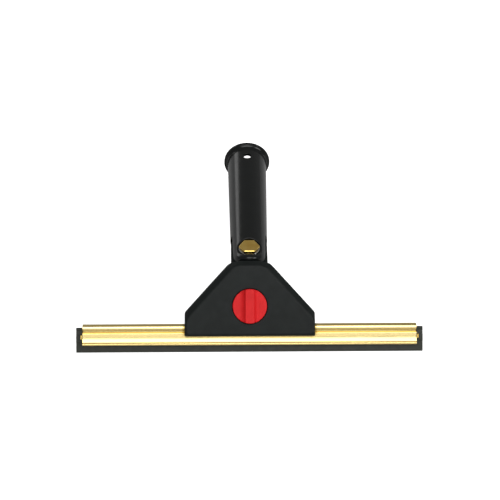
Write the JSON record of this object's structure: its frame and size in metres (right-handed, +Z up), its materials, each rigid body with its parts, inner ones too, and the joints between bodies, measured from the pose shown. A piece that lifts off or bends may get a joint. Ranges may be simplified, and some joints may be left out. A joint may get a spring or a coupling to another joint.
{
  "type": "window squeegee",
  "caption": "Window squeegee: a rubber blade in a brass rail, clamped in a moulded head by a quarter-turn knob, on a swivelling hollow pole handle.",
  "frame": {"origin": "centre of the bounding box on the surface that the squeegee lies on, touched by the rubber's edge and the handle's rim", "axes": "+X along the blade, +Y from the blade to the handle's mouth, +Z up from the surface"},
  "size_m": [0.25, 0.1822, 0.0527],
  "materials": {
    "black_moulding": "satin black moulded plastic",
    "red_plastic": "glossy red moulded plastic",
    "brass": "drawn brass, polished, with fine lengthwise lines",
    "rubber": "matte black rubber",
    "steel": "zinc-plated steel",
    "white_plastic": "self-coloured acetal"
  },
  "bodies": {
    "head": {"head_body": "black_moulding", "front_cover": "black_moulding", "cover_screw_low_left": "steel", "cover_screw_low_right": "steel", "cover_screw_high_left": "steel", "cover_screw_high_right": "steel"},
    "handle": {"handle_tube": "black_moulding", "pivot_bolt": "brass", "spring_washer": "steel", "pivot_washer": "steel", "pivot_nut": "brass", "friction_disc_front": "white_plastic", "friction_disc_rear": "white_plastic"},
    "knob": {"lock_knob": "red_plastic", "lock_cam": "white_plastic", "cam_washer": "steel", "cam_screw": "steel"},
    "lock": {"lock_slide": "white_plastic", "clamp_pad": "rubber"},
    "rail": {"rail": "brass", "rubber_blade": "rubber", "rubber_clip_left": "brass", "rubber_clip_right": "brass"}
  },
  "joints": [
    {"name": "handle_swivel", "type": "hinge", "parent": "head", "child": "handle", "pos_m": [0, -0.03422, 0.03687], "axis": [0, 0.1539, 0.9881], "range_deg": [-90, 90]},
    {"name": "knob_turn", "type": "hinge", "parent": "head", "child": "knob", "pos_m": [0, -0.06578, 0.02301], "axis": [0, -0.671, 0.7414], "range_deg": [0, 90]},
    {"name": "lock_lift", "type": "slide", "parent": "head", "child": "lock", "axis": [0, 0.7414, 0.671], "range_m": [0, 0.0015]},
    {"name": "rail_shift", "type": "slide", "parent": "head", "child": "rail", "axis": [1, 0, 0], "range_m": [-0.0735, 0.0735]}
  ],
  "couplings": [
    {"joint": "lock_lift", "follows": "knob_turn", "m_per_rad": 0.00095493}
  ]
}
